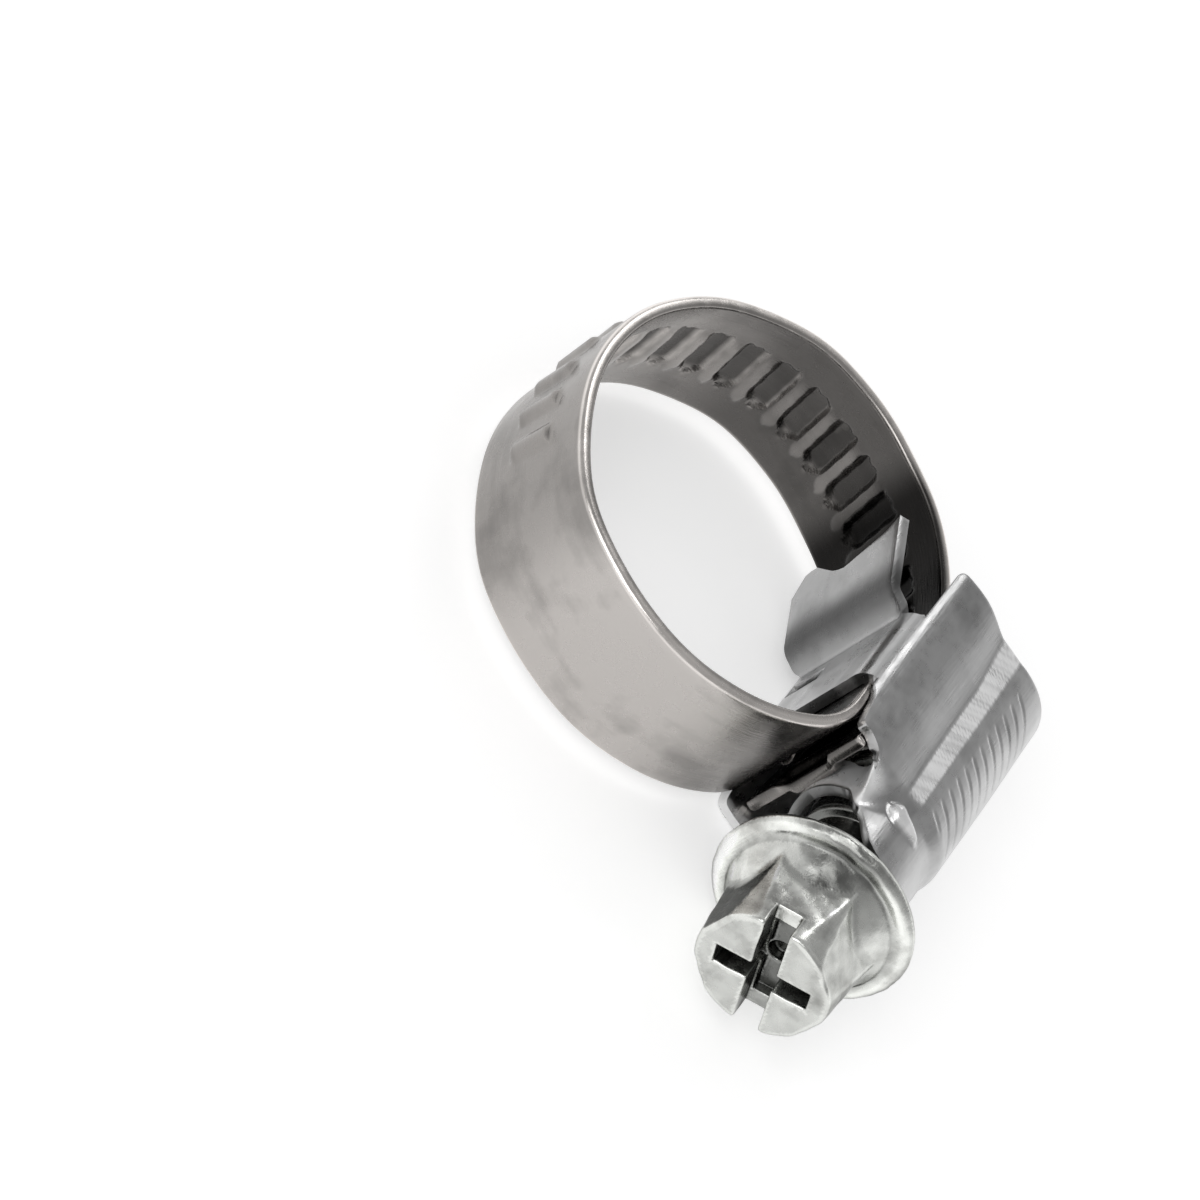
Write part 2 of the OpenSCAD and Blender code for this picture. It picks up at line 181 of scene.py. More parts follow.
# Pressed bump beside the collar
BUMP_X = -6.95
BUMP_TOP_Y = -14.75
BUMP_LEN = 1.95
BUMP_HALF = 0.62
BUMP_H = 0.85

# Tongue: its root and half width, and the (length, turn) pieces of its path
TONGUE_X = 2.13
TONGUE_HALF = 4.3
TONGUE_PATH = ((0.77, 68), (0.9, 0), (0.61, -43.4), (4.1, 0))

# Tones of the housing, mostly painted light: the facet's ground finish, painted lighter, painted
# light on the dome, floor and bridge, a painted highlight along the fold and painted shade on the
# tongue's foot. The facet shows brush streaks of random strength
FACET_FINISH_AND_LIGHT = 1.9
DOME_PAINTED_LIGHT = 1.2
FLOOR_PAINTED_LIGHT = 1.25
BRIDGE_PAINTED_LIGHT = 1.8
FOLD_LIGHT = 0.15
FOOT_SHADE = 0.78
BRUSH_DEPTH = 0.09
BRUSH_SEED = 5

# Worm, journal and neck of the screw
WORM_R = 3.2
THREAD_DEPTH = 0.9
WORM_START_X = -3.95
WORM_END_X = 6.2
JOURNAL_R = 2.9
NECK_R = 2.4
NECK_X = -7.5
SHAFT_SIDES = 72

# Flange of the screw: its back, its beaded rim and the cone in front of it
FLANGE_X = -10.05
FLANGE_R = 5.42
FLANGE_BACK_R = 3.85
BACK_SLOPE = 0.85
BEAD_R = 0.5
BEAD_AT = 1.75
CONE_SLOPE = 0.58
CONE_FOOT = 5.85
CONE_END = 5.5

# Hexagon of the screw, with its turned corners
HEX_AF = 7.0
HEX_TURN = 32.0
HEX_START = 0.5
HEAD_END_X = -17.55
HEAD_LEN = FLANGE_X - HEAD_END_X
CORNER_AT = 3.0
CORNER_TURN = 0.093

# Slot, cross recess and the pit in its middle
SLOT_TURN = 61.0
SLOT_W = 1.35
SLOT_DEPTH = 1.5
ARM_LEN = 5.1
ARM_W = 1.1
ARM_DEPTH = 2.1
PIT_R = 0.6
PIT_DEPTH = 2.8

# How far the head's surfaces flow into each other, and how wide its edges are rounded
BEAD_BLEND = 0.3
CONE_BLEND = 0.35
HEX_BLEND = 0.14
PIT_BLEND = 0.15
CORNER_EDGE = 0.05
END_EDGE = 0.22
CUT_EDGE = 0.12

# Finish of the head: the grid it is sampled on, its dents, the tone of its edges, which is wear
# and painted highlight with painted shade in its creases, the painted light and shade of each flat,
# and the painted shade on its end and on all that lies behind the flange
HEAD_STEP = 0.08
DENT = 0.014
EDGE_WEAR_AND_LIGHT = 0.5
PAINTED_FLAT_LIGHT = (1.2, 0.95, 0.9, 0.6, 1.0, 0.26)
END_SHADE = 0.2
BACK_SHADE = 0.72


def smooth(x, start, end):
    """0 before start, 1 after end, and a smooth step between. start may be the greater one."""
    t = np.clip((np.asarray(x, float) - start) / (end - start), 0, 1)
    return t * t * (3 - 2 * t)


def bump(x, centre, width):
    """1 at the centre, falling smoothly to 0 at width on each side."""
    return 1 - smooth(np.abs(np.asarray(x, float) - centre), 0, width)


def spread(marks, steps):
    """Values through every mark, with equal steps no wider than steps between two marks.

    steps is one width, or a list with a width for each stretch.
    """
    widths = np.broadcast_to(steps, len(marks) - 1)
    parts = [
        np.linspace(a, b, max(1, int(np.ceil((b - a) / width - 1e-6))) + 1)[:-1]
        for a, b, width in zip(marks[:-1], marks[1:], widths)
    ]
    return np.concatenate([*parts, [marks[-1]]])


# Making meshes


def grid_faces(index, keep=None, closed=False):
    """Quads between the rows and columns of a grid of vertex numbers."""
    if closed:
        index = np.concatenate([index, index[:, :1]], axis=1)
    quads = np.stack(
        [index[:-1, :-1], index[1:, :-1], index[1:, 1:], index[:-1, 1:]], axis=-1
    )
    return quads[keep] if keep is not None else quads.reshape(-1, 4)


def make_piece(name, parts, body, node, weld, sharp=None):
    """A mesh from parts of (points in millimetres, faces, tone), riding on a body for a node."""
    points, faces, tones, count = [], [], [], 0
    for part_points, part_faces, part_tone in parts:
        part_points = np.asarray(part_points, float).reshape(-1, 3)
        points.append(part_points)
        tones.append(np.ravel(part_tone))
        faces += [[int(i) + count for i in face] for face in part_faces]
        count += len(part_points)
    mesh = bpy.data.meshes.new(name)
    mesh.from_pydata(np.concatenate(points).tolist(), [], faces)
    tone = mesh.attributes.new("tone", "FLOAT", "POINT")
    tone.data.foreach_set("value", np.concatenate(tones).astype(np.float32))
    edit = bmesh.new()
    edit.from_mesh(mesh)
    bmesh.ops.remove_doubles(edit, verts=edit.verts, dist=weld)
    loose = [v for v in edit.verts if not v.link_faces]
    bmesh.ops.delete(edit, geom=loose, context="VERTS")
    bmesh.ops.recalc_face_normals(edit, faces=edit.faces)
    edit.to_mesh(mesh)
    edit.free()
    mesh.transform(Matrix.Scale(MM, 4))
    mesh.shade_smooth()
    if sharp:
        mesh.set_sharp_from_angle(angle=np.radians(sharp))
    piece = bpy.data.objects.new(name, mesh)
    bpy.context.scene.collection.objects.link(piece)
    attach(piece, body)
    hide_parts(node)
    return piece


def follow(path, start, s):
    """Places and headings at the lengths s along a path of (length, turn) pieces.

    start is the place and the heading, in radians, at which the path begins.
    """
    x, y, heading = start
    places, angles = np.zeros((len(s), 2)), np.zeros(len(s))
    begin = 0.0
    for i, (length, turn) in enumerate(path):
        turn = np.radians(turn)
        first, last = i == 0, i == len(path) - 1
        here = ((s >= begin) | first) & ((s < begin + length) | last)
        part = np.append(s[here] - begin, length)
        if turn:
            r, angle = length / turn, heading + turn * part / length
            px = x + r * (np.sin(angle) - np.sin(heading))
            py = y - r * (np.cos(angle) - np.cos(heading))
        else:
            angle = np.full(len(part), heading)
            px, py = x + part * np.cos(heading), y + part * np.sin(heading)
        places[here] = np.stack([px[:-1], py[:-1]], axis=1)
        angles[here] = angle[:-1]
        x, y, heading, begin = px[-1], py[-1], angle[-1], begin + length
    return places, angles


# Making the band

RING_MID = RING_R - BAND_T / 2
PLAIN_MID = RING_R - SEAT_LIFT - BAND_T / 2
BEND_R = (PLAIN_MID - RING_MID * np.cos(np.radians(BEND_AT))) / (
    1 - np.cos(np.radians(BEND_AT))
)
TAIL_R = TAIL_LEN / np.radians(TAIL_TURN)
RING_LEN = RING_MID * np.radians(360 - BEND_AT)
BEND_LEN = BEND_R * np.radians(BEND_AT)
BAND_PATH = [
    (TAIL_LEN, TAIL_TURN),
    (RING_LEN, 360 - BEND_AT),
    (BEND_LEN, BEND_AT),
    (PLAIN_LEN, 0),
]
BAND_START = (
    -TAIL_R * np.sin(np.radians(TAIL_TURN)),
    -RING_MID + TAIL_R * (1 - np.cos(np.radians(TAIL_TURN))),
    -np.radians(TAIL_TURN),
)
BEND_END = TAIL_LEN + RING_LEN + BEND_LEN
BAND_LEN = sum(length for length, _ in BAND_PATH)
THREAD_END = FIRST_RIDGE + RIDGE_COUNT * PITCH


def ring_wobble(s):
    """How far the bent ring stands outside a true circle."""
    angle = np.degrees((s - TAIL_LEN) / RING_MID) - 90
    return sum(height * np.exp(-(((angle - at) / half) ** 2)) for height, at, half in RING_BULGES)


def thread_shape(s, z):
    """How far the pressed thread moves the inside and the outside of the band, and its tone.

    Each recess narrows to a point at its lower end, and the metal between two recesses stands up
    as a finger with a round end. The sines make no two of them quite alike. The tone is painted
    shade in the recesses and painted highlight on their slopes and on the fingers.
    """
    turns = (s - FIRST_RIDGE - z * np.tan(np.radians(RECESS_LEAN))) / PITCH
    k = np.clip(np.round(turns), 0, RIDGE_COUNT - 1)
    a = (turns - k) * PITCH - 0.05
    full = smooth(z, *RECESS_POINT)
    across = a / (0.2 + 0.8 * full) + 0.025 * np.sin(5.1 * z + 2.3 * k)
    recess = smooth(across, *RECESS_FRONT) * smooth(across, *RECESS_BACK) * (0.35 + 0.65 * full)
    ragged = z + 0.09 * np.sin(2.9 * k + 9 * a)
    recess = recess * smooth(z, *RECESS_LOW) * smooth(ragged, *RECESS_TOP)
    beside = (PITCH / 2 - np.abs(a + 0.08)) / FINGER_HALF
    below = np.clip((FINGER_FOOT - 0.14 * np.sin(1.7 * k) - z) / 0.85, 0, 1)
    reach = np.hypot(beside, below)
    finger = np.clip(1 - reach**2, 0, 1) ** 0.8 * smooth(z, THREAD_HALF, 1.0)
    outside = RIDGE_H * smooth(np.abs(a), *RIDGE_FLANK)
    outside = outside * smooth(np.abs(z - RIDGE_MIDDLE), *RIDGE_ENDS)
    # Painted shade in the recesses, painted highlight on their slopes and on the fingers
    tone = 1 - 0.68 * smooth(recess, 0.6, 0.95) + 0.8 * bump(recess, 0.35, 0.35) + 0.3 * finger
    return RECESS_DEPTH * recess - FINGER_H * finger, outside, tone


def band_section():
    """The section's outline: places across the width and away from the middle of the sheet.

    It comes with the number of points along a flat side and round one corner.
    """
    half, edge_r = BAND_W / 2, max(OUTER_EDGE_R, INNER_EDGE_R)
    marks = [edge_r - half, -BESIDE_HALF, -THREAD_HALF, THREAD_HALF, BESIDE_HALF, half - edge_r]
    z = spread(marks, [0.5, 0.3, 0.12, 0.3, 0.5])
    side = np.full(len(z), BAND_T / 2)
    arc = np.radians([18, 36, 54, 72, 90])
    out_z = half - OUTER_EDGE_R * (1 - np.sin(arc))
    out_off = BAND_T / 2 - OUTER_EDGE_R * (1 - np.cos(arc))
    in_z = half - INNER_EDGE_R * (1 - np.sin(arc))
    in_off = BAND_T / 2 - INNER_EDGE_R * (1 - np.cos(arc))
    loop_z = np.concatenate([z, out_z, in_z[::-1], z[::-1], -in_z, -out_z[::-1]])
    loop_off = np.concatenate([side, out_off, -in_off[::-1], -side, -in_off, out_off[::-1]])
    return loop_z, loop_off, len(z), len(arc)


def band_stations():
    """The lengths along the strip at which it has a section, close together at each ridge."""
    marks = [-1.1, -0.97, -0.86, -0.77, -0.68, -0.58, -0.46, -0.34, -0.18, 0.02]
    marks += [0.24, 0.44, 0.54, 0.6, 0.66, 0.72, 0.79, 0.88, 1.0]
    start = spread([CUT_ROUND, 1.3], 0.08)
    thread = [FIRST_RIDGE + k * PITCH + m for k in range(1, RIDGE_COUNT) for m in marks]
    thread = [s for s in thread if s > start[-1] + 0.05]
    rest = spread([thread[-1] + 0.2, TAIL_LEN + RING_LEN, BEND_END], 0.45)
    plain = spread([BEND_END + 0.2, BAND_LEN - CUT_ROUND], 0.3)
    return np.concatenate(
        [[0.0, CUT_STEP], start, thread, rest, plain, [BAND_LEN - CUT_STEP, BAND_LEN]]
    )


def band_tone(s, z, y, off, moved, inside, thread_painted_light):
    """The strip's painted light and shade: painted shade inside and towards the housing, behind the
    tongue and on the outside away from its middle across y, and painted highlight at its rims.

    off and moved are the distances from the middle of the sheet before and after the pressing.
    """
    # Painted highlight at both rims, and the inside painted darker as shade
    rim = smooth(np.abs(z), BAND_W / 2 - 0.3, BAND_W / 2 - 0.1)
    tone = np.where(off < 0, INNER_PAINTED_SHADE * thread_painted_light, OUTER_TONE + (1 - OUTER_TONE) * rim)
    # Painted shade on the inside behind the tongue
    behind = smooth(s, TONGUE_SHADE, TONGUE_SHADE - 3) * smooth(s, 0.2, 0.6)
    tone = tone * np.where(off < 0, 1 - 0.85 * behind, 1) * (1 + 0.4 * rim)
    # Painted shade on the inside towards the housing, less in the recesses and on the fingers
    spared = 0.5 * smooth(inside, 0.03, 0.25) + 0.35 * smooth(-inside, 0.01, 0.1)
    dark = 0.62 * smooth(y, 9.5, 3) * (1 - spared) * (1 - rim)
    # Painted shade on the outside away from its middle across y
    far = 0.4 * smooth(y, -3, -9.5) + 0.4 * smooth(y, 3.5, 9)
    return tone * np.where(moved < 0, 1 - dark, 1 - far * (1 - rim))


def end_faces(index, flat, corner):
    """Faces that close the strip's two cut ends, from the numbers of points in the section."""
    faces = []
    for row in (index[0], index[-1]):
        outer, inner = row[:flat], row[flat + 2 * corner : 2 * flat + 2 * corner][::-1]
        faces += [[outer[i], outer[i + 1], inner[i + 1], inner[i]] for i in range(flat - 1)]
        faces.append(row[flat - 1 : flat + 2 * corner + 1])
        faces.append([*row[2 * flat + 2 * corner - 1 :], row[0]])
    return faces


def build_band():
    """The strip, lofted along its path, with rounded edges and the pressed thread."""
    loop_z, loop_off, flat, corner = band_section()
    stations = band_stations()
    s, z = np.meshgrid(stations, loop_z, indexing="ij")
    leaning = smooth(s, 0.3, 2.2) * smooth(s, THREAD_END + 6, THREAD_END)
    s = s + z * np.tan(np.radians(RECESS_LEAN)) * leaning
    marks = [0, CUT_STEP, CUT_ROUND, BAND_LEN - CUT_ROUND, BAND_LEN - CUT_STEP, BAND_LEN]
    shrink = CUT_IN * np.interp(stations, marks, [1, 0.4, 0, 0, 0.4, 1])[:, None]
    off = loop_off - np.sign(loop_off) * shrink
    neck = smooth(s, BEND_END + 1.3, BEND_END + 1.5) * NECK_IN
    z = z * (1 - (neck + shrink) / (BAND_W / 2))
    inside, outside, thread_painted_light = thread_shape(s, z)
    wave = 0.02 * np.sin(s * 0.9) * np.sin(z * 0.7 + s * 0.23)
    moved = off + np.where(off < 0, inside, outside) + ring_wobble(s) + wave
    places, angles = follow(BAND_PATH, BAND_START, s.ravel())
    x = places[:, 0] + moved.ravel() * np.sin(angles)
    y = places[:, 1] - moved.ravel() * np.cos(angles)
    tone = band_tone(s, z, y.reshape(s.shape), off, moved, inside, thread_painted_light)
    index = np.arange(s.size).reshape(s.shape)
    faces = [*grid_faces(index, closed=True), *end_faces(index, flat, corner)]
    strip = (np.stack([x, y, z.ravel()], axis=1), faces, tone)
    parts = [strip, build_hook()]
    return make_piece("band_strip", parts, "clip", "band", weld=1e-5, sharp=50)


def build_hook():
    """The small lance that is bent out of the plain end, away from the ring."""
    u, v = np.meshgrid(np.linspace(0, 1, 9), np.linspace(0, 1, 15), indexing="ij")
    arch = np.sin(np.pi * v) ** 0.7
    x = HOOK_X - HOOK_LEN * u * (0.55 + 0.45 * arch)
    y = -(PLAIN_MID + BAND_T / 2) - HOOK_H * u**0.8 * arch + 0.04
    z = HOOK_Z + HOOK_W * v
    top = np.stack([x, y, z], axis=-1)
    low = np.stack([x + 0.12, np.minimum(y + 0.3, -PLAIN_MID - 0.1), z], axis=-1)
    count = u.size
    index = np.arange(count).reshape(u.shape)
    faces = [*grid_faces(index), *(grid_faces(index) + count)[:, ::-1]]
    rim = [*index[0, :], *index[1:, -1], *index[-1, -2::-1], *index[-2:0:-1, 0]]
    faces += [[a, b, b + count, a + count] for a, b in zip(rim, rim[1:] + rim[:1])]
    return np.concatenate([top.reshape(-1, 3), low.reshape(-1, 3)]), faces, np.ones(2 * count)


# Making the housing


def section_heights(x):
    """The waist's height and half width and the height of the facet's foot, at the places x."""
    waist_y = np.interp(x, [-6, -0.3, 2.9, 6.8], [-14.47, -14.25, -14.16, -13.66])
    waist_z = np.interp(x, [-6, 0, TAIL_X], [4.12, 4.16, 4.34])
    facet_y = np.interp(x, [-6, TAIL_X], [-15.62, -15.4])
    return waist_y, waist_z, facet_y


def housing_rows():
    """The rows of half a housing section, from the bottom of the dome to the middle of the floor.

    Each row is (kind, value): an angle on the dome, or a share of the facet, wall, fold or floor.
    """
    rows = [("dome", a) for a in 180 - spread([0, 32, 90], [4, 1.6])]
    rows += [("facet", t) for t in np.linspace(0, 1, 8)[1:]]
    rows += [("wall", t) for t in spread([0, 0.77, 1], [0.05, 0.016])[1:]]
    rows += [("fold", t) for t in np.linspace(0, 1, 15)[1:]]
    rows += [("floor", t) for t in np.linspace(0, 1, 10)[1:]]
    return rows


def section_point(kind, value, x):
    """Y and Z of a row of the section at the places x, on the outside of the sheet."""
    waist_y, waist_z, facet_y = section_heights(x)
    growth = smooth(x, 0, TAIL_X)
    half = DOME_HALF + 0.06 * growth
    if kind == "dome":
        a = np.radians(value)
        deep = DOME_DEEP - 0.1 * growth
        square = 1 + 0.02 * np.sin(2 * a) ** 2
        lowered = (facet_y - AXIS_Y) * (1 - smooth(value, 90, 130))
        widened = 0.04 * (1 - smooth(value, 90, 110))
        return AXIS_Y + deep * square * np.cos(a) + lowered, half * square * np.sin(a) + widened
    if kind == "facet":
        foot_z = half + 0.04
        return facet_y + (waist_y - facet_y) * value, foot_z + (waist_z - foot_z) * value
    fold_y, fold_z = FLOOR_TOP_Y - FOLD_R, WALL_OUT - FOLD_R
    if kind == "wall":
        y = waist_y + (LIP_Y - waist_y) * value
        marks = [0, 0.1, 0.22, 0.36, 0.5, 0.66, 0.82, 0.94, 1]
        share = np.interp(value, marks, [0, 0.17, 0.42, 0.68, 0.86, 0.96, 1, 1, 1])
        z = waist_z + (WALL_OUT + 0.1 * smooth(x, 2, TAIL_X) - waist_z) * share
        rolled = np.sqrt(FOLD_R**2 - np.clip(y - fold_y, 0, FOLD_R) ** 2)
        return y, z + rolled - FOLD_R
    if kind == "fold":
        first = np.arcsin((LIP_Y - fold_y) / FOLD_R)
        a = first + (np.pi / 2 - first) * value
        return fold_y + FOLD_R * np.sin(a) + 0 * x, fold_z + FOLD_R * np.cos(a) + 0 * x
    return FLOOR_TOP_Y + 0 * x, fold_z * (1 - value) + 0 * x


def row_angle(kind, value):
    """The angle from the top at which a row of the section lies, and its height."""
    y, z = section_point(kind, value, np.array([SHOULDER_X]))
    return float(np.degrees(np.arctan2(z, y - AXIS_Y))[0]), float(y[0])


def line_groove(x, angle):
    """Depth of the impressed lines on the side of the dome."""
    slanted = x - LINE_X + LINE_SLANT * (angle - LINE_TOP)
    k = np.clip(np.round(slanted / LINE_PITCH), 0, LINE_COUNT - 1)
    off = slanted - k * LINE_PITCH
    span = smooth(angle, 100, LINE_TOP) * smooth(angle, 147, 139)
    return LINE_DEPTH * np.exp(-((off / LINE_HALF) ** 2)) * span


def front_edge(angle):
    """Where the collar's front edge is, by angle from the top."""
    angles = [0, 14, 27.4, 41, 48, 54.3, 62.4, 69.3, 77.5, 86.2, 94]
    fronts = [-6.72, -6.8, -6.9, -7.1, -7.36, -7.8, -8.35, -8.96, -9.5, -9.8, COLLAR_X]
    return np.interp(angle, angles, fronts)


def bridge_back(angle):
    """Where the bridge's back edge is, by angle from the top."""
    angles = [0, 6, 19.4, 31, 40, 47, 52, SLOT_ANGLE]
    return np.interp(angle, angles, [-4.05, -4.2, -4.62, -4.9, -5.3, -6.0, -6.6, SLOT_BACK_X])


def wall_front(side, height):
    """Where a wall's wavy front edge is, by height. side is 1 for the near wall, -1 for the far."""
    if side > 0:
        heights = [-12.4, -12.0, -11.5, -10.9, -10.4, -10.18, -10.05, -9.94, -9.7, LIP_Y]
        fronts = [-6.88, -6.5, -6.1, -5.88, -5.88, -5.7, -4.9, -4.1, -3.6, -3.4]
    else:
        heights = [-12.5, -11.9, -11.1, -10.2, -9.8, -9.6, LIP_Y]
        fronts = [-7.0, -7.2, -7.3, -7.1, -6.95, -6.7, -6.2]
    return np.interp(height, heights, fronts)


def shell_point(kind, value, x):
    """Angle and radius of a row of the section, with its shoulder down to the collar."""
    y, z = section_point(kind, value, np.maximum(x, SHOULDER_X))
    angle = np.degrees(np.arctan2(z, y - AXIS_Y))
    radius = np.hypot(z, y - AXIS_Y)
    marks = [SLOT_ANGLE, 70, 90, 110, 180]
    foot = np.interp(angle, marks, [-7.9, -7.8, -6.9, -6.4, -6.3])
    top = np.interp(angle, marks, [-6.5, -5.7, -5.3, -5.3, -5.3])
    collar = np.interp(angle, [40, 60, 180], [3.8, 3.76, 3.7])
    radius = collar + (radius - collar) * smooth(x, foot, top)
    if kind == "dome":
        radius = radius - line_groove(x, angle) * smooth(x, -5.5, -5.3)
    return angle, radius


def bump_height(x, y):
    """The pressed bump beside the collar, drawn as a teardrop that narrows downwards."""
    down = (BUMP_TOP_Y - y) / BUMP_LEN
    half = BUMP_HALF * np.sqrt(np.clip(1 - down / 1.03, 0.003, 1)) * smooth(down, -0.45, 0.1)
    centre = BUMP_X - 0.25 * np.clip(down, 0, 1)
    across = np.clip(1 - ((x - centre) / np.maximum(half, 0.03)) ** 2, 0, 1)
    return BUMP_H * half * across**0.75 * smooth(down, 1.05, 0.8)


def housing_places():
    """The places along x of the housing's grid, and three of its columns.

    The columns are at the slot's back and the floor's two ends, where the nearest place is moved
    onto the edge, so that each of these edges falls on a grid line.
    """
    base = spread([COLLAR_X, -9.6, -8.2, -5.2, 6.5], [0.3, 0.2, 0.11, 0.085])
    base = np.concatenate([base, [6.68, TAIL_X]])
    columns = []
    for mark in (SLOT_BACK_X, FLOOR_HEAD_X, FLOOR_TAIL_X):
        column = int(np.argmin(np.abs(base - mark)))
        base[column] = mark
        columns.append(column)
    return base, columns


def row_places(kind, value, side, base):
    """The grid's places along x, moved to the front and back edges that one row has."""
    angle, height = row_angle(kind, value)
    tail = TAIL_X
    if kind == "wall":
        near_top = np.clip(TAIL_CORNER_R - (LIP_Y - height), 0, TAIL_CORNER_R)
        cut = TAIL_CORNER_R - np.sqrt(TAIL_CORNER_R**2 - near_top**2)
        tail = TAIL_X + 0.06 * np.sin(value * 3.1) - cut
    share = (TAIL_X - base) / (TAIL_X - FLOOR_TAIL_X)
    x = np.where(base > FLOOR_TAIL_X, tail - share * (tail - FLOOR_TAIL_X), base)
    if angle >= SLOT_ANGLE:
        share = (base - SLOT_BACK_X) / (COLLAR_X - SLOT_BACK_X)
        front = SLOT_BACK_X + share * (front_edge(angle) - SLOT_BACK_X)
        return np.where(base < SLOT_BACK_X, front, x)
    if kind == "wall":
        share = (base - FLOOR_HEAD_X) / (SLOT_BACK_X - FLOOR_HEAD_X)
        front = FLOOR_HEAD_X + share * (wall_front(side, height) - FLOOR_HEAD_X)
        return np.where((base < FLOOR_HEAD_X) & (base >= SLOT_BACK_X), front, x)
    if kind == "fold":
        rise = np.clip(value * (np.pi / 2) * FOLD_R, 0, FLOOR_CORNER_R)
        out = FLOOR_CORNER_R - np.sqrt(FLOOR_CORNER_R**2 - (FLOOR_CORNER_R - rise) ** 2)
        length = FLOOR_TAIL_X - FLOOR_HEAD_X
        return FLOOR_HEAD_X - out + (base - FLOOR_HEAD_X) * (length + 2 * out) / length
    return x


def row_surface(kind, value, x):
    """Y and Z of a row at its own places, with the shoulder, the lines and the bump."""
    if row_angle(kind, value)[0] < SLOT_ANGLE:
        return section_point(kind, value, x)
    angle, radius = shell_point(kind, value, x)
    turn = np.radians(angle)
    y, z = AXIS_Y + radius * np.cos(turn), radius * np.sin(turn)
    swell = bump_height(x, y) * (z > 1)
    return y + swell * np.cos(turn), z + swell * np.sin(turn)


def open_cells(rows, base, grid, side):
    """Cells that the floor leaves open: the far side's slot, and those past the tongue's root."""
    on_floor = np.array([kind == "floor" for kind, _ in rows])[1:, None]
    along = (base[None, :-1] > CATCH_X[0]) & (base[None, 1:] < CATCH_X[1])
    across = np.abs(grid[1:, :-1, 2] - CATCH_Z) < CATCH_HALF
    catch = on_floor & (side < 0) & along & across
    return catch | (on_floor & (base[None, :-1] >= TONGUE_X))


def housing_tone(grid, rows, base):
    """The sheet's tone on its facets, dome, folds, floor and bump, and beside the bridge: brush
    streaks on the facet, and otherwise painted light, painted highlights and a darker floor front.
    """
    x, y, z = np.moveaxis(grid, -1, 0)
    on_facet = np.array([kind == "facet" and value < 1 for kind, value in rows])[:, None]
    on_floor = np.array([kind in ("floor", "fold") and value > 0.4 for kind, value in rows])
    # The facet and the dome are painted lighter
    tone = 1 + (FACET_FINISH_AND_LIGHT - 1) * on_facet * smooth(x, -6.0, -5.2)
    tone[[kind == "dome" for kind, _ in rows]] = DOME_PAINTED_LIGHT
    brush = np.random.default_rng(BRUSH_SEED).normal(size=len(base) + 3 * len(rows))
    shift = 3 * np.arange(len(rows))[:, None] // 2 + np.arange(len(base))[None, :]
    tone *= 1 + BRUSH_DEPTH * brush[shift] * (tone > 1.3)
    # Painted highlight along the fold
    fold_ends = {"wall": (0.8, 0.95), "fold": (0.7, 0.2)}
    fold_highlight = [smooth(value, *fold_ends[kind]) if kind in fold_ends else 0 for kind, value in rows]
    tone += FOLD_LIGHT * np.array(fold_highlight)[:, None]
    # The floor is painted lighter, and darker along its front edge
    painted_floor_light = FLOOR_PAINTED_LIGHT - 0.9 * (base < FLOOR_HEAD_X + 0.05)
    tone = np.where(on_floor[:, None], painted_floor_light, tone)
    # Painted highlight on the bump
    tone += 0.8 * smooth(bump_height(x, y), 0.04, 0.3) * (np.abs(z) > 1)
    # Painted light beside the bridge, running into the bridge's own
    tone += (BRIDGE_PAINTED_LIGHT - 1) * smooth(x, -6.1, -7) * smooth(y, -14.3, -12.8)
    return tone


def build_bridge(base, grid, rows, side):
    """The part of the collar that passes over the journal, flowing out of the wall's lower end."""
    walls = [j for j, (kind, _) in enumerate(rows) if kind == "wall"]
    last = max(j for j in walls if row_angle(*rows[j])[0] >= SLOT_ANGLE)
    start, heading = grid[last], grid[last] - grid[last - 1]
    heading[:, 0] = 0
    heading /= np.linalg.norm(heading, axis=1)[:, None]
    t = ((base - base[0]) / (base[-1] - base[0]))[:, None]

    def over(angle):
        """The row of the bridge at an angle from the top."""
        x = front_edge(angle) + t * (bridge_back(angle) - front_edge(angle))
        turn = np.radians(angle) + 0 * t
        return np.hstack([x, AXIS_Y + BRIDGE_R * np.cos(turn), side * BRIDGE_R * np.sin(turn)])

    end, turn = over(BRIDGE_ANGLE), np.radians(BRIDGE_ANGLE)
    reach = 0.42 * np.linalg.norm(end - start, axis=1)[:, None]
    first = start + heading * reach
    second = end - np.array([0, np.sin(turn), -side * np.cos(turn)]) * reach
    out = []
    for u in np.linspace(0, 1, 19):
        near, far = (1 - u) ** 3 * start, u**3 * end
        out.append(near + 3 * u * (1 - u) ** 2 * first + 3 * u * u * (1 - u) * second + far)
    out += [over(angle) for angle in np.linspace(BRIDGE_ANGLE, 0, 20)[1:]]
    out = np.array(out)
    # Painted light on the bridge, which is darker along its front edge
    tone = np.full(out.shape[:2], BRIDGE_PAINTED_LIGHT)
    tone[:, 0] = 0.5
    return out, grid_faces(np.arange(tone.size).reshape(tone.shape)), tone


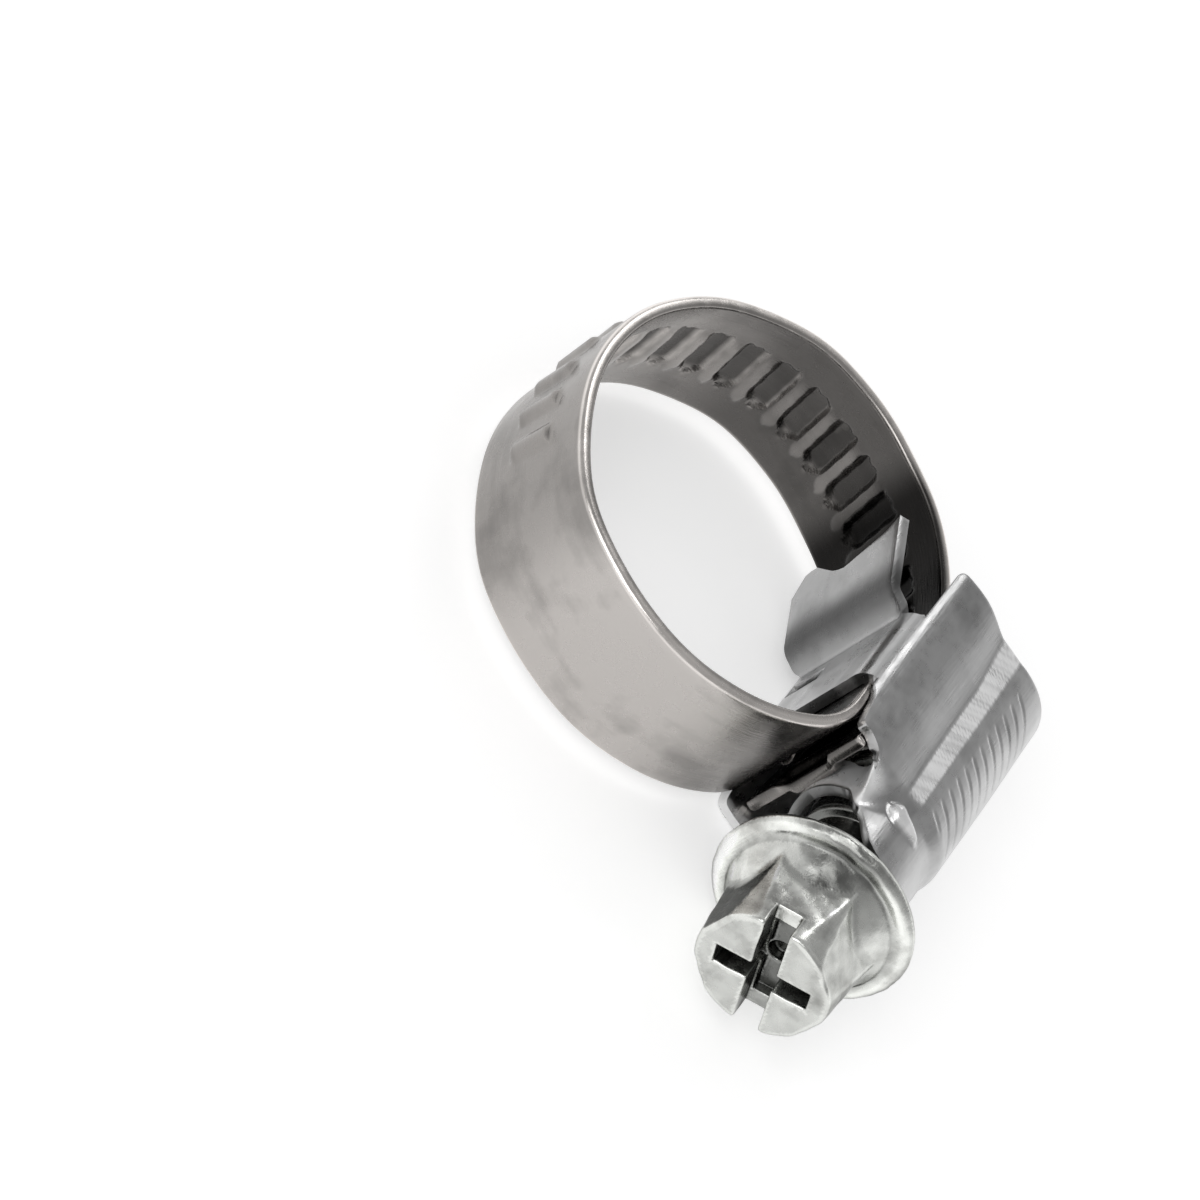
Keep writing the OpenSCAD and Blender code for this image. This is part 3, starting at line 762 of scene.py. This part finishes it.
def build_tongue(rows, base):
    """The floor's tongue, which steps up and then slopes up along the inside of the ring."""
    at_root = np.array([0.0])
    z = [section_point(kind, value, at_root)[1][0] for kind, value in rows if kind == "floor"]
    z = np.array([WALL_OUT - FOLD_R, *z])
    z = np.concatenate([z, -z[-2::-1]])
    lengths = [length for length, _ in TONGUE_PATH]
    marks = [0, *np.cumsum(lengths)]
    slope, total = marks[-2:]
    s = spread(marks, [0.1, 0.1, 0.1, 0.2])
    start = (base[base >= TONGUE_X][0], FLOOR_TOP_Y - SHEET_T / 2, 0.0)
    tip_places = [-4.3, -4.15, -3.3, -3.0, -2.4, -1.6, -0.86, -0.2, 0.15, 0.92, 2.08, 3.24, 4.33]
    tip_cuts = [1.15, 0.95, 0.05, 0.0, 0.02, 0.55, 1.02, 1.2, 1.22, 1.03, 0.8, 0.58, 0.02]
    points = np.zeros((len(s), len(z), 3))
    for i, zi in enumerate(z):
        cut = np.interp(zi * TONGUE_HALF / z[0], tip_places, tip_cuts)
        shorter = slope + (s - slope) * (total - cut - slope) / (total - slope)
        mine = np.where(s > slope, shorter, s)
        places, angles = follow(TONGUE_PATH, start, mine)
        wide = 1 + (TONGUE_HALF / z[0] - 1) * smooth(mine, 0.1, 1.1)
        points[:, i, 0] = places[:, 0] - SHEET_T / 2 * np.sin(angles)
        points[:, i, 1] = places[:, 1] + SHEET_T / 2 * np.cos(angles)
        points[:, i, 2] = zi * wide
    # Painted shade across the tongue's foot and bend
    tone = np.repeat(1 - FOOT_SHADE * bump(s, 2.4, 2.2)[:, None], len(z), axis=1)
    return points, grid_faces(np.arange(tone.size).reshape(tone.shape)), tone


def thicken_sheet(piece):
    """Give the housing's outside its sheet, inwards, and slightly rounded edges."""
    thick = piece.modifiers.new("sheet", "SOLIDIFY")
    thick.thickness = SHEET_T * MM
    thick.offset = -1
    thick.use_even_offset = True
    edge = piece.modifiers.new("edges", "BEVEL")
    edge.width = EDGE_R * MM
    edge.segments = 2
    edge.limit_method = "ANGLE"
    edge.angle_limit = np.radians(70)


def build_housing():
    """The folded sheet: dome, walls, floor, tongue, collar and the bridge over the journal."""
    rows = housing_rows()
    base, (slot_at, head_at, tail_at) = housing_places()
    parts = []
    for side in (1, -1):
        grid = np.zeros((len(rows), len(base), 3))
        keep = np.zeros((len(rows), len(base)), bool)
        for j, (kind, value) in enumerate(rows):
            x = row_places(kind, value, side, base)
            y, z = row_surface(kind, value, x)
            grid[j] = np.stack([x, y, side * z], axis=-1)
            if row_angle(kind, value)[0] >= SLOT_ANGLE:
                keep[j] = True
            elif kind == "wall":
                keep[j, slot_at:] = True
            else:
                keep[j, head_at : tail_at + 1] = True
        cells = keep[:-1, :-1] & keep[1:, :-1] & keep[1:, 1:] & keep[:-1, 1:]
        cells &= ~open_cells(rows, base, grid, side)
        index = np.arange(keep.size).reshape(keep.shape)
        parts.append((grid, grid_faces(index, cells), housing_tone(grid, rows, base)))
        parts.append(build_bridge(base[: slot_at + 1], grid[:, : slot_at + 1], rows, side))
    parts.append(build_tongue(rows, base))
    piece = make_piece("housing_sheet", parts, "clip", "housing", weld=2e-3)
    thicken_sheet(piece)
    return piece


# Making the screw


def surface_net(field, corner, step):
    """Points and quads of the zero level of a field that is sampled on a grid.

    Each cell that the level passes through gets one point, the mean of where it crosses the
    cell's edges, and each crossed edge gets a quad between the four cells round it.
    """
    inside = field < 0
    shape = np.array(field.shape) - 1
    total = np.zeros((*shape, 3))
    count = np.zeros(shape)
    crossings = []
    for axis in range(3):
        low = [slice(None)] * 3
        high = [slice(None)] * 3
        low[axis], high[axis] = slice(0, -1), slice(1, None)
        low, high = tuple(low), tuple(high)
        cross = np.argwhere(inside[low] != inside[high])
        a, b = field[low][tuple(cross.T)], field[high][tuple(cross.T)]
        place = cross.astype(float)
        place[:, axis] += a / (a - b)
        first, second = [k for k in range(3) if k != axis]
        cells = []
        for i, j in ((0, 0), (1, 0), (1, 1), (0, 1)):
            cell = cross.copy()
            cell[:, first] -= i
            cell[:, second] -= j
            cells.append(cell)
        fits = np.all([np.all((c >= 0) & (c < shape), axis=1) for c in cells], axis=0)
        for cell in cells:
            np.add.at(total, tuple(cell[fits].T), place[fits])
            np.add.at(count, tuple(cell[fits].T), 1)
        flip = (a[fits] < 0) == (axis == 1)
        crossings.append((np.stack([c[fits] for c in cells], axis=1), flip))
    used = count > 0
    number = np.full(shape, -1)
    number[used] = np.arange(used.sum())
    points = corner + step * total[used] / count[used][:, None]
    faces = []
    for cells, flip in crossings:
        quads = number[tuple(np.moveaxis(cells, -1, 0))]
        quads[flip] = quads[flip][:, ::-1]
        faces.append(quads)
    return points, np.concatenate(faces)


def soft_max(a, b, width):
    """The greater of two fields, rounded where they are nearly equal."""
    h = np.clip(width - np.abs(a - b), 0, None) / width
    return np.maximum(a, b) + h * h * width / 4


def soft_min(a, b, width):
    """The lesser of two fields, rounded where they are nearly equal."""
    return -soft_max(-a, -b, width)


def block(a, b, c, size):
    """Field of a box with the half sizes in size."""
    return np.maximum(np.maximum(np.abs(a) - size[0], np.abs(b) - size[1]), np.abs(c) - size[2])


def flange_field(r, t):
    """The flange, its beaded rim and its cone, by radius and by the distance t from its back."""
    bead = np.hypot(r - (FLANGE_R - BEAD_R), t - BEAD_AT) - BEAD_R
    back = (r - FLANGE_BACK_R - BACK_SLOPE * t) / 1.3
    disc = np.maximum(np.abs(t - BEAD_AT / 2) - BEAD_AT / 2, back)
    cone = (r + CONE_SLOPE * t - CONE_FOOT) / np.hypot(1, CONE_SLOPE)
    cone = np.maximum(np.maximum(cone, BEAD_AT - t), t - CONE_END)
    return soft_min(soft_min(disc, bead, BEAD_BLEND), cone, CONE_BLEND)


def hexagon_field(y, z, r, t):
    """The hexagon with its turned corners and rounded end, and its endless flats alone."""
    flats = np.full(y.shape, -1e9)
    for k in range(6):
        a = np.radians(HEX_TURN + 30 + 60 * k)
        flats = np.maximum(flats, y * np.cos(a) + z * np.sin(a) - HEX_AF / 2)
    turned = r - HEX_AF / np.sqrt(3) + (t - CORNER_AT) * CORNER_TURN
    hexagon = soft_max(flats, turned / np.hypot(1, CORNER_TURN), CORNER_EDGE)
    return soft_max(np.maximum(hexagon, HEX_START - t), t - HEAD_LEN, END_EDGE), flats


def cut_field(y, z, t):
    """The slot, the cross recess and the pit in its middle."""
    a = np.radians(SLOT_TURN)
    along, across = y * np.cos(a) + z * np.sin(a), z * np.cos(a) - y * np.sin(a)
    above = t - HEAD_LEN
    slot = block(along, across, above, (2 * HEX_AF, SLOT_W / 2, SLOT_DEPTH))
    arms = np.minimum(
        block(along, across, above, (ARM_W / 2, ARM_LEN / 2, ARM_DEPTH)),
        block(along, across, above, (ARM_LEN / 2, ARM_W / 2, ARM_DEPTH)),
    )
    pit = np.maximum(np.hypot(along, across) - PIT_R, np.abs(above) - PIT_DEPTH)
    return soft_min(np.minimum(slot, arms), pit, PIT_BLEND)


def head_tone(angle, r, t, flange, hexagon, flats, cuts, bend):
    """The tone of the head at its points, from the fields there and from how strongly they bend:
    wear and painted highlight on edges, and painted light and shade on flats, cone, end and cuts.
    """
    turn = angle - HEX_TURN
    flat = np.round((turn - 30) / 60).astype(int) % 6
    on_flat = smooth(hexagon - flats, 0.04, 0.0) * smooth(flange, 0.05, 0.2)
    on_flat = on_flat * (t < HEAD_LEN - 0.1)
    on_cone = smooth(flange, 0.2, 0.05) * smooth(t, 1.6, 2.1) * smooth(hexagon, 0.05, 0.2)
    on_back = smooth(t, 1.1, 0.7) * smooth(r, 4.6, 4.1)
    in_cut = smooth(cuts, 0.3, 0.05)
    slot_floor = bump(t, HEAD_LEN - SLOT_DEPTH, 0.14)
    slot_wall_shade = in_cut * smooth(t, HEAD_LEN - 0.2, HEAD_LEN - 0.9) * (1 - slot_floor)
    arm_shade = in_cut * smooth(t, HEAD_LEN - 1.6, HEAD_LEN - 1.9)
    # Painted highlight and a painted dark reflection on the cone
    streaks = 0.3 * bump(turn, -10 - HEX_TURN, 60) - 0.75 * bump(turn, 72 - HEX_TURN, 40)
    # Edges lighter as wear and painted highlight, creases darker as painted shade
    tone = 1 + EDGE_WEAR_AND_LIGHT * np.clip(bend / 4, -1, 0.5)
    # Painted light and shade, one tone for each flat
    tone *= 1 + (np.array(PAINTED_FLAT_LIGHT)[flat] - 1) * on_flat
    # Painted shade on the end
    tone *= 1 - END_SHADE * smooth(t, HEAD_LEN - 0.2, HEAD_LEN - 0.05)
    tone *= 1 + streaks * on_cone
    # Painted shade on the slot's walls and in the arms
    tone *= (1 - 0.55 * slot_wall_shade) * (1 - 0.4 * arm_shade)
    # Painted shade behind the flange
    return tone * (1 - BACK_SHADE * on_back)


def build_head():
    """The flange, the cone in front of it and the driven hexagon, as one rounded field."""
    reach = FLANGE_R + 0.3
    corner = np.array([HEAD_END_X - 0.3, -reach, -reach])
    counts = np.ceil((np.array([FLANGE_X + 0.3, reach, reach]) - corner) / HEAD_STEP).astype(int)
    axes = [low + HEAD_STEP * np.arange(count + 1) for low, count in zip(corner, counts)]
    x, y, z = np.meshgrid(*axes, indexing="ij")
    t = FLANGE_X - x
    dent = DENT * (
        np.sin(y * 2.9 + 1.3 * np.sin(z * 2.1)) * np.sin(z * 3.3 + x * 1.9)
        + np.sin(x * 4.1 + z * 1.7) * np.sin(y * 3.7 - x * 1.1)
    )
    r = np.hypot(y, z)
    flange = flange_field(r, t)
    hexagon, flats = hexagon_field(y, z, r, t)
    cuts = cut_field(y, z, t)
    head = soft_min(flange, hexagon, HEX_BLEND) + dent
    head = soft_max(head, -(cuts + dent * 0.6), CUT_EDGE)
    points, faces = surface_net(head, corner, HEAD_STEP)
    bend = -6 * head
    for axis in range(3):
        bend += np.roll(head, 1, axis) + np.roll(head, -1, axis)
    near = tuple(np.round((points - corner) / HEAD_STEP).astype(int).T)
    angle = np.degrees(np.arctan2(points[:, 2], points[:, 1]))
    fields = (r, t, flange, hexagon, flats, cuts, bend / HEAD_STEP**2)
    tone = head_tone(angle, *(field[near] for field in fields))
    points[:, 1] += AXIS_Y
    return points, faces, tone


def worm_thread(x, angle, r):
    """The worm's radius with its single right-hand thread."""
    first = WORM_START_X + 0.75
    phase = (x - first) / PITCH - angle / (2 * np.pi)
    off = np.abs(phase - np.round(phase)) * PITCH
    crest = smooth(off, 0.8, 0.28)
    ends = smooth(x, WORM_START_X, first) * smooth(x, WORM_END_X, WORM_END_X - 0.7)
    return r + THREAD_DEPTH * crest * ends * (x > WORM_START_X + 0.01)


def build_shaft():
    """Neck, journal and worm: a profile of (x, radius) turned about the screw axis."""
    core = WORM_R - THREAD_DEPTH
    profile = [(x, NECK_R) for x in (FLANGE_X - 0.6, FLANGE_X, -8.6, NECK_X - 0.08)]
    profile += [(NECK_X, NECK_R + 0.05), (NECK_X + 0.02, JOURNAL_R - 0.12)]
    profile += [(x, JOURNAL_R) for x in (NECK_X + 0.14, -7.0, -5.5, WORM_START_X - 0.12)]
    profile += [(WORM_START_X, JOURNAL_R - 0.1), (WORM_START_X + 0.02, core + 0.1)]
    profile += [(x, core) for x in spread([WORM_START_X + 0.1, WORM_END_X - 0.15], 0.1)]
    profile += [(WORM_END_X, core - 0.15)]
    angles = np.linspace(0, 2 * np.pi, SHAFT_SIDES, endpoint=False)
    x, r = [np.repeat(column[:, None], SHAFT_SIDES, axis=1) for column in np.array(profile).T]
    r = worm_thread(x, angles, r)
    points = np.stack([x, AXIS_Y + r * np.cos(angles), r * np.sin(angles)], axis=-1)
    index = np.arange(x.size).reshape(x.shape)
    faces = [*grid_faces(index, closed=True), index[0][::-1], index[-1]]
    # Painted shade on the neck and the front of the journal, towards the head
    return points, faces, 1 - BACK_SHADE * smooth(x, -5, -6)


def build_screw():
    """The whole screw: head, neck, journal and worm."""
    parts = [build_head(), build_shaft()]
    return make_piece("screw", parts, "screw", "worm_screw", weld=1e-4, sharp=60)


# Making materials


def node_adder(tree):
    """A helper that adds nodes to a tree."""

    def add(kind, links=(), inputs=None, **settings):
        """A new node with its settings, its inputs' values and its links from other sockets."""
        node = tree.nodes.new(kind)
        for key, value in settings.items():
            setattr(node, key, value)
        for socket, value in (inputs or {}).items():
            node.inputs[socket].default_value = value
        for socket, source in links:
            tree.links.new(source, node.inputs[socket])
        return node

    return add


def node_material(name):
    """An empty node material, its tree, its shader, and a helper that adds a node."""
    material = bpy.data.materials.new(name)
    material.use_nodes = True
    tree = material.node_tree
    return material, tree, tree.nodes["Principled BSDF"], node_adder(tree)


def metal(name, dark, light, rough, grain, blotch, edge=1.0):
    """Bare or plated metal with a mottled tone, fine grain lines and uneven gloss.

    grain is how close its lines are along each axis and blotch how close its spots are, both for
    one metre. edge is how bright it is where it is seen at a grazing angle. The colour is
    multiplied by the mesh's tone, which paints light and shade, and high tones make it less
    metallic.
    """
    material, tree, shader, add = node_material(name)
    place = add("ShaderNodeTexCoord").outputs["Object"]
    fine = add("ShaderNodeMapping", [("Vector", place)], {"Scale": grain}).outputs[0]
    coarse_scale = [v * STREAK for v in grain]
    coarse = add("ShaderNodeMapping", [("Vector", place)], {"Scale": coarse_scale}).outputs[0]

    def noise(vector, scale, detail, roughness=0.5):
        """The value of a noise texture."""
        inputs = {"Scale": scale, "Detail": detail, "Roughness": roughness}
        return add("ShaderNodeTexNoise", [("Vector", vector)], inputs).outputs["Fac"]

    lines = noise(fine, 1.0, 3.0)
    spots = noise(place, blotch, 5.0, 0.6)
    clouds = noise(place, blotch / 4.5, 3.0)
    streaks = noise(coarse, 1.0, 4.0)
    links = [(0, spots), (1, clouds), (2, clouds)]
    mottle = add("ShaderNodeMath", links, operation="MULTIPLY_ADD").outputs[0]
    links = [(0, streaks), (2, mottle)]
    mottle = add("ShaderNodeMath", links, {1: 0.45}, operation="MULTIPLY_ADD").outputs[0]
    colour = add("ShaderNodeValToRGB", [("Fac", mottle)])
    ramp = colour.color_ramp.elements
    for element, position, shade in zip(ramp, (0.62, 1.0), (dark, light)):
        element.position = position
        element.color = (*shade, 1)
    gloss = add(
        "ShaderNodeMapRange",
        [("Value", spots)],
        {"From Min": 0.3, "From Max": 0.7, "To Min": rough[0], "To Max": rough[1]},
    )
    scratches = add(
        "ShaderNodeBump", [("Height", lines)], {"Strength": SCRATCH, "Distance": SCRATCH_DEPTH}
    )
    pits = add(
        "ShaderNodeBump",
        [("Height", spots), ("Normal", scratches.outputs[0])],
        {"Strength": SCRATCH / 2, "Distance": SCRATCH_DEPTH / 2},
    )
    tone = add("ShaderNodeAttribute", attribute_name="tone").outputs["Fac"]
    links = [(0, colour.outputs["Color"]), (1, tone)]
    toned = add("ShaderNodeVectorMath", links, operation="MULTIPLY")
    # Less metallic at high tones: the facet's ground finish, and the bridge's and bump's painted
    # light
    brushed_and_lit_metallic = add(
        "ShaderNodeMapRange",
        [("Value", tone)],
        {"From Min": 1.4, "From Max": FACET_FINISH_AND_LIGHT, "To Min": 1.0, "To Max": 0.45},
    )
    tree.links.new(toned.outputs[0], shader.inputs["Base Color"])
    tree.links.new(gloss.outputs["Result"], shader.inputs["Roughness"])
    tree.links.new(pits.outputs[0], shader.inputs["Normal"])
    tree.links.new(brushed_and_lit_metallic.outputs["Result"], shader.inputs["Metallic"])
    shader.inputs["Specular Tint"].default_value = (edge, edge, edge, 1)
    return material


def band_steel():
    """Warm stainless strip, with grain lines along its length."""
    dark, light = (0.425, 0.405, 0.388), (0.64, 0.608, 0.583)
    return metal("band steel", dark, light, (0.2, 0.32), (900, 900, 9000), 900)


def housing_steel():
    """Greyer stainless sheet, with grain lines along the screw axis."""
    dark, light = (0.36, 0.36, 0.36), (0.5, 0.5, 0.5)
    return metal("housing steel", dark, light, (0.24, 0.38), (700, 9000, 9000), 1200)


def zinc_plate():
    """Bright, slightly greenish zinc plate without a grain."""
    dark, light = (0.33, 0.33, 0.315), (0.76, 0.77, 0.74)
    return metal("zinc plate", dark, light, (0.16, 0.36), (3000, 3000, 3000), 1500, edge=0.4)


def white_floor():
    """Matt white that glows a little for the camera and in what the metal mirrors."""
    material, tree, shader, add = node_material("white floor")
    path = add("ShaderNodeLightPath").outputs
    links = [(0, path["Is Camera Ray"]), (1, path["Is Glossy Ray"])]
    seen = add("ShaderNodeMath", links, operation="MAXIMUM").outputs[0]
    links = [(0, seen), (1, path["Is Transmission Ray"])]
    seen = add("ShaderNodeMath", links, operation="MAXIMUM").outputs[0]
    glow = add("ShaderNodeMath", [(0, seen)], {1: FLOOR_GLOW}, operation="MULTIPLY")
    shader.inputs["Base Color"].default_value = (0.8, 0.8, 0.8, 1)
    shader.inputs["Roughness"].default_value = 0.9
    shader.inputs["Specular IOR Level"].default_value = 0.1
    shader.inputs["Emission Color"].default_value = (1, 1, 1, 1)
    tree.links.new(glow.outputs[0], shader.inputs["Emission Strength"])
    return material


# Making the floor, the light and the camera


def build_floor():
    """A pale floor just under the part."""
    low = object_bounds()[0]
    corners = [(-1, -1), (1, -1), (1, 1), (-1, 1)]
    points = [(FLOOR_HALF * x, FLOOR_HALF * y, 0) for x, y in corners]
    mesh = bpy.data.meshes.new("floor")
    mesh.from_pydata(points, [], [(0, 1, 2, 3)])
    floor = bpy.data.objects.new("floor", mesh)
    floor.location.z = low.z - FLOOR_DROP
    bpy.context.scene.collection.objects.link(floor)
    floor.data.materials.append(white_floor())


def build_world():
    """White to the camera, an even light, and a greyer ceiling in what the metal mirrors."""
    world = bpy.data.worlds.new("studio")
    bpy.context.scene.world = world
    world.use_nodes = True
    tree = world.node_tree
    add = node_adder(tree)
    path = add("ShaderNodeLightPath").outputs
    view = add("ShaderNodeTexCoord").outputs["Generated"]
    up = add("ShaderNodeSeparateXYZ", [(0, view)]).outputs["Z"]
    ceiling = add(
        "ShaderNodeMapRange",
        [("Value", up)],
        {"From Min": 0.1, "From Max": 0.55, "To Min": 1.0, "To Max": CEILING},
        interpolation_type="SMOOTHSTEP",
    )
    links = [("Factor", path["Is Glossy Ray"]), ("B", ceiling.outputs["Result"])]
    light = add("ShaderNodeMix", links, {"A": WORLD_LIGHT})
    links = [(0, path["Is Camera Ray"]), (1, path["Is Transmission Ray"])]
    shown = add("ShaderNodeMath", links, operation="MAXIMUM")
    links = [("Factor", shown.outputs[0]), ("A", light.outputs["Result"])]
    level = add("ShaderNodeMix", links, {"B": 1.0})
    back = tree.nodes["Background"]
    back.inputs["Color"].default_value = (1, 1, 1, 1)
    tree.links.new(level.outputs["Result"], back.inputs["Strength"])


def soft_lamp(name, azimuth, elevation, distance, size, level):
    """A square softbox aimed at the housing. level is how bright its face is, where 1 is white."""
    a, e = np.radians(azimuth), np.radians(elevation)
    away = Vector((np.cos(a) * np.cos(e), np.sin(a) * np.cos(e), np.sin(e)))
    data = bpy.data.lights.new(name, "AREA")
    data.size = size * MM
    data.energy = level * np.pi * (size * MM) ** 2
    lamp = bpy.data.objects.new(name, data)
    lamp.location = (Vector(LAMP_AIM) + away * distance) * MM
    lamp.rotation_mode = "QUATERNION"
    lamp.rotation_quaternion = (-away).to_track_quat("-Z", "Y")
    bpy.context.scene.collection.objects.link(lamp)


def build_camera():
    """The camera that sees the part as the photo does."""
    data = bpy.data.cameras.new("camera")
    data.lens = CAMERA_LENS
    data.sensor_width = SENSOR_W
    data.clip_start = 0.01
    camera = bpy.data.objects.new("camera", data)
    right, down = Vector(CAMERA_RIGHT), Vector(CAMERA_DOWN)
    axes = Matrix((right, -down, -right.cross(down))).transposed()
    camera.matrix_world = Matrix.Translation(Vector(CAMERA_AT) * MM) @ axes.to_4x4()
    bpy.context.scene.collection.objects.link(camera)
    bpy.context.scene.camera = camera


build_band().data.materials.append(band_steel())
build_housing().data.materials.append(housing_steel())
build_screw().data.materials.append(zinc_plate())

build_floor()
build_world()
soft_lamp("key", azimuth=148, elevation=42, distance=330, size=220, level=2.1)
soft_lamp("back", azimuth=14, elevation=45, distance=260, size=80, level=2.4)
build_camera()
bpy.context.scene.view_settings.view_transform = "Standard"
